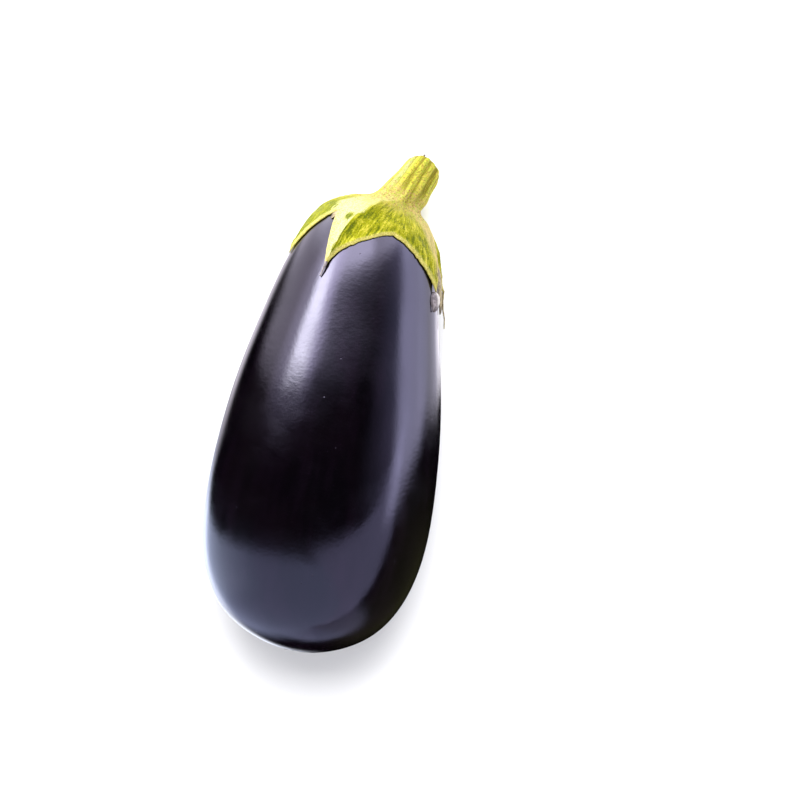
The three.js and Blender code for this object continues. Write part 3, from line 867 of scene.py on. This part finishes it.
def husk_material():
    """Dry, grey-brown papery skin, with a painted highlight at the upper right and dark edges that are partly
    painted shade.
    """
    material, tree, shader = new_material("dried_husk", 0.55)
    place = add_node(tree, "ShaderNodeTexCoord").outputs["Object"]
    grey = speckle(tree, place, 700, 0.35, 0.65)
    fine = noise_value(tree, place, 2200, 3, 0.7)
    colour = mix_colour(tree, grey, (0.12, 0.1, 0.09), (0.36, 0.31, 0.31))
    # Painted highlight at the upper right.
    colour = mix_colour(tree, attribute(tree, "bright"), colour, (0.8, 0.74, 0.68))
    papery = mix_colour(tree, grey, (0.19, 0.14, 0.045), (0.5, 0.4, 0.16))
    colour = mix_colour(tree, attribute(tree, "tan"), colour, papery)
    # Dark specks, and dark edges that are partly painted shade in the gap at the skin.
    dark = maths(tree, "MULTIPLY", attribute(tree, "rim"), 0.8)
    dark = maths(tree, "MAXIMUM", ramp_range(tree, fine, 0.55, 0.75), dark)
    colour = mix_colour(tree, dark, colour, (0.04, 0.026, 0.02))
    tree.links.new(colour, shader.inputs["Base Color"])
    bump = add_node(tree, "ShaderNodeBump", {"Height": fine, "Strength": 0.7, "Distance": 0.0002})
    tree.links.new(bump.outputs["Normal"], shader.inputs["Normal"])
    return material


# ---- studio

# The camera looks down on the eggplant's front, square to its axis, which leans to the right in the view.
PICTURE_SIZE = 800
PICTURE_SCALE = 0.413  # mm of the fruit's middle plane in one pixel
BLOSSOM_END_PIXEL = Vector((312, 652))
AXIS_LEAN = math.radians(10)
BLOSSOM_END_OFFSET = Vector((18.5, 1.5))  # mm from the axis's foot to that pixel's point, right and up
LENS = 100
SENSOR = 36
CAMERA_DISTANCE = PICTURE_SCALE * PICTURE_SIZE * LENS / SENSOR

WORLD_LIGHT = (0.8, 0.8, 0.82)
FLOOR_SIZE = 6  # metres from its middle to its sides

PICTURE_RIGHT = Vector((math.cos(AXIS_LEAN), math.sin(AXIS_LEAN), 0))
PICTURE_UP = Vector((-math.sin(AXIS_LEAN), math.cos(AXIS_LEAN), 0))
STUDIO = LAID_DOWN.to_3x3().normalized() @ Matrix((PICTURE_RIGHT, PICTURE_UP, Vector((0, 0, 1)))).transposed()


def make_camera():
    """The camera, aimed so that the blossom end falls on its own pixel."""
    middle = Vector((PICTURE_SIZE / 2, PICTURE_SIZE / 2)) - BLOSSOM_END_PIXEL
    right = middle.x * math.cos(AXIS_LEAN) + middle.y * math.sin(AXIS_LEAN)
    up = middle.x * math.sin(AXIS_LEAN) - middle.y * math.cos(AXIS_LEAN)
    aim = Vector((right + BLOSSOM_END_OFFSET.x, up + BLOSSOM_END_OFFSET.y, 0)) * PICTURE_SCALE
    data = bpy.data.cameras.new("camera")
    data.lens = LENS
    data.sensor_width = SENSOR
    camera = bpy.data.objects.new("camera", data)
    bpy.context.scene.collection.objects.link(camera)
    place = LAID_DOWN @ (aim + Vector((0, 0, CAMERA_DISTANCE)))
    camera.matrix_world = Matrix.Translation(place) @ STUDIO.to_4x4()
    bpy.context.scene.camera = camera


# What the gloss mirrors: soft panels by their turn about the view's upright, in degrees from the camera to
# the right, and their height, from -1 below the view to 1 above it. Each edge is (place, softness). A slope
# raises the low and high edges by so much for each degree, and a bow (amount, turn) by so much for the square
# of the degrees from that turn. A skew leans the right edge by its degrees for each unit of height.
PANELS = [
    # The window, its glow and the panels overhead.
    dict(light=(13.8, 14.6, 14.0), left=(-60, 6), right=(-38, 7), low=(0.45, 0.05), high=(0.64, 0.12)),
    dict(light=(7.6, 7.2, 10.2), left=(-60, 8), right=(-28, 12), low=(0.46, 0.05), high=(0.95, 0.05)),
    dict(
        light=(1.0, 0.95, 1.4), left=(-72, 9), right=(-28, 10), low=(0.35, 0.12), high=(0.5, 0.05),
        bow=(1e-4, -47),
    ),
    dict(light=(4.9, 4.8, 6.2), left=(-28, 10), right=(23, 10), low=(0.58, 0.06), high=(0.95, 0.05)),
    dict(light=(4.2, 4.1, 5.1), left=(-70, 14), right=(70, 10), low=(0.535, 0.1), high=(1.2, 0.1)),
    dict(light=(0.95, 0.92, 1.25), left=(-74, 10), right=(90, 10), low=(0.4, 0.14), high=(1.2, 0.1)),
    dict(light=(0.7, 0.72, 1.15), left=(52, 20), right=(90, 10), low=(-0.1, 0.15), high=(1.2, 0.1)),
    # The wall on the left and the edge of light round it.
    dict(light=(2.55, 2.4, 2.9), left=(-150, 12), right=(-66, 6), low=(0.42, 0.06), high=(1.2, 0.1)),
    dict(light=(2.5, 2.5, 2.9), left=(-150, 12), right=(-70, 8), low=(0.68, 0.08), high=(1.2, 0.1)),
    dict(light=(1.5, 1.4, 1.6), left=(-176, 12), right=(-146, 6), low=(0.08, 0.06), high=(0.6, 0.1)),
    dict(light=(1.9, 2.0, 2.3), left=(-175, 4), right=(-140, 9), low=(-0.42, 0.14), high=(0.03, 0.05)),
    # The wall on the right.
    dict(
        light=(3.3, 3.3, 4.6), left=(71, 8), right=(116, 13), low=(-0.57, 0.06), high=(0.8, 0.1),
        slope=0.005,
    ),
    dict(light=(1.8, 1.75, 2.15), left=(118, 12), right=(145, 6), low=(0.0, 0.025), high=(0.8, 0.1)),
    dict(light=(2.5, 2.4, 2.7), left=(144, 5), right=(170, 4), low=(0.015, 0.02), high=(0.095, 0.03)),
    # The table, in two halves that meet at the seam, and its edges.
    dict(
        light=(1.15, 1.28, 1.95), left=(-152, 14), low=(-3, 0.1), high=(-0.41, 0.03),
        seam=-1, slope=-0.0031,
    ),
    dict(
        light=(1.25, 1.25, 1.95), right=(84, 3), low=(-3, 0.1), high=(-0.31, 0.03),
        seam=1, skew=8, bow=(5e-5, 0),
    ),
    dict(
        light=(0.8, 0.95, 1.15), left=(-150, 5), right=(-85, 35), low=(-0.8, 0.15), high=(-0.41, 0.05),
        slope=-0.0031,
    ),
    dict(light=(0.65, 0.65, 1.0), left=(78, 10), right=(140, 26), low=(-1.3, 0.1), high=(-0.79, 0.07)),
    dict(light=(0.7, 0.75, 1.2), left=(140, 26), low=(-1.3, 0.1), high=(-0.86, 0.05)),
    dict(light=(0.9, 0.95, 1.5), right=(-152, 14), low=(-1.3, 0.1), high=(-0.86, 0.05)),
    dict(light=(0.06, 0.06, 0.025), left=(88, 8), right=(165, 15), low=(-0.95, 0.15), high=(-0.16, 0.12)),
]
SEAM = (-32, 2.5)
SEAM_LEAN = 94  # degrees for each unit of height
WAVER_TURN = 6  # degrees by which the panels' edges wander, and the height
WAVER_HEIGHT = 0.03


def panel_mask(tree, turn, height, panel):
    """How much of a panel the gloss sees in a direction."""

    def step(value, edge, way):
        return ramp_range(tree, value, edge[0] - way * edge[1], edge[0] + way * edge[1])

    level = height
    if "slope" in panel:
        level = maths(tree, "SUBTRACT", level, maths(tree, "MULTIPLY", turn, panel["slope"]))
    if "bow" in panel:
        amount, middle = panel["bow"]
        away = maths(tree, "POWER", maths(tree, "ABSOLUTE", maths(tree, "SUBTRACT", turn, middle)), 2.0)
        level = maths(tree, "SUBTRACT", level, maths(tree, "MULTIPLY", away, amount))
    masks = [step(level, panel["low"], 1), step(level, panel["high"], -1)]
    if "left" in panel:
        masks.append(step(turn, panel["left"], 1))
    if "right" in panel:
        skewed = maths(tree, "SUBTRACT", turn, maths(tree, "MULTIPLY", height, panel.get("skew", 0.0)))
        masks.append(step(skewed, panel["right"], -1))
    if "seam" in panel:
        leaned = maths(tree, "ADD", turn, maths(tree, "MULTIPLY", height, SEAM_LEAN))
        masks.append(step(leaned, SEAM, panel["seam"]))
    result = masks[0]
    for mask in masks[1:]:
        result = maths(tree, "MULTIPLY", result, mask)
    return result


def make_world():
    """Even pale light, and the panels where the gloss mirrors them."""
    world = bpy.data.worlds.new("studio")
    bpy.context.scene.world = world
    world.use_nodes = True
    tree = world.node_tree
    background = tree.nodes["Background"]
    ray = add_node(tree, "ShaderNodeTexCoord").outputs["Generated"]
    turned = STUDIO.inverted().to_euler()
    facing = {"Vector": ray, "Rotation": turned}
    studio = add_node(tree, "ShaderNodeVectorRotate", facing, rotation_type="EULER_XYZ").outputs[0]
    axes = add_node(tree, "ShaderNodeSeparateXYZ", {"Vector": studio})
    x, y, z = (axes.outputs[i] for i in range(3))
    waver = maths(tree, "SUBTRACT", noise_value(tree, studio, 3.2, 6, 0.68), 0.5)
    other = maths(tree, "SUBTRACT", noise_value(tree, ray, 4.1, 6, 0.68), 0.5)
    turn = maths(tree, "DEGREES", maths(tree, "ARCTAN2", x, z))
    turn = maths(tree, "ADD", turn, maths(tree, "MULTIPLY", waver, 2 * WAVER_TURN))
    height = maths(tree, "ADD", y, maths(tree, "MULTIPLY", other, 2 * WAVER_HEIGHT))
    mirrored = (0, 0, 0)
    for panel in PANELS:
        seen = {0: panel["light"], "Scale": panel_mask(tree, turn, height, panel)}
        part = add_node(tree, "ShaderNodeVectorMath", seen, operation="SCALE").outputs[0]
        mirrored = add_node(tree, "ShaderNodeVectorMath", {0: mirrored, 1: part}).outputs[0]
    path = add_node(tree, "ShaderNodeLightPath")
    plain = mix_colour(tree, path.outputs["Is Camera Ray"], WORLD_LIGHT, (1.0, 1.0, 1.0))
    colour = mix_colour(tree, path.outputs["Is Glossy Ray"], plain, mirrored)
    tree.links.new(colour, background.inputs["Color"])


def make_lamp(name, direction, distance, size, power, lit):
    """A soft lamp aimed at the middle of the eggplant, which lights only the pieces given."""
    data = bpy.data.lights.new(name, "AREA")
    data.size = size
    data.energy = power
    lamp = bpy.data.objects.new(name, data)
    bpy.context.scene.collection.objects.link(lamp)
    middle = LAID_DOWN @ Vector((0, FRUIT_LENGTH / 2, 0))
    away = (STUDIO @ Vector(direction)).normalized()
    aimed = away.to_track_quat("Z", "Y").to_matrix().to_4x4()
    lamp.matrix_world = Matrix.Translation(middle + away * distance) @ aimed
    lamp.visible_camera = False
    group = bpy.data.collections.new(name + "_lights")
    for piece in lit:
        group.objects.link(piece)
    lamp.light_linking.receiver_collection = group


def make_floor():
    """A plain pale table, much wider than the view."""
    mesh = bmesh.new()
    bmesh.ops.create_grid(mesh, x_segments=1, y_segments=1, size=FLOOR_SIZE)
    data = bpy.data.meshes.new("floor")
    mesh.to_mesh(data)
    mesh.free()
    floor = bpy.data.objects.new("floor", data)
    bpy.context.scene.collection.objects.link(floor)
    floor.visible_glossy = False
    material, tree, shader = new_material("pale_table", 0.5)
    place = add_node(tree, "ShaderNodeTexCoord").outputs["Object"]
    colour = mix_colour(tree, noise_value(tree, place, 3), (0.86, 0.86, 0.87), (0.88, 0.88, 0.885))
    tree.links.new(colour, shader.inputs["Base Color"])
    data.materials.append(material)
    return floor


# ---- putting it together

random.seed(7)
SPECKLE = speckle_group()
fruit = make_fruit()
fruit.data.materials.append(skin_material())
calyx = make_calyx()
calyx.data.materials.append(calyx_material())
down = make_down(calyx)
down.data.materials.append(down_material())
dried = [
    make_husk("dried_flap", 51.5, 8.5, 69.5, 2.2, 0.25, 2.4, -1.2),
    make_husk("dried_web", 40, 20, 81, 3.4, 0.4, 1.8, 4.5, 0.9),
    make_husk("notch_web", 23.2, 5, -42, 1.6, 0.35, 0.6, 0.0, 0.8),
    make_crumb(),
    make_strand("dried_strand", STRAND, 0.9, 0.9),
    make_strand("dried_tip", LOBE_TIP, 1.2),
]
husk = husk_material()
for piece in dried:
    piece.data.materials.append(husk)
floor = make_floor()
make_camera()
make_world()
make_lamp("top_lamp", (0.0, 0.4, 0.9), 1.1, 0.6, 22, [floor])
make_lamp("fill_lamp", (0.3, 0.1, 1.0), 1.1, 0.8, 3, [calyx, down, *dried])
make_lamp("calyx_lamp", (-0.7, 0.5, 0.45), 0.8, 0.35, 6.5, [calyx, down, *dried])
bpy.context.scene.view_settings.view_transform = "Standard"
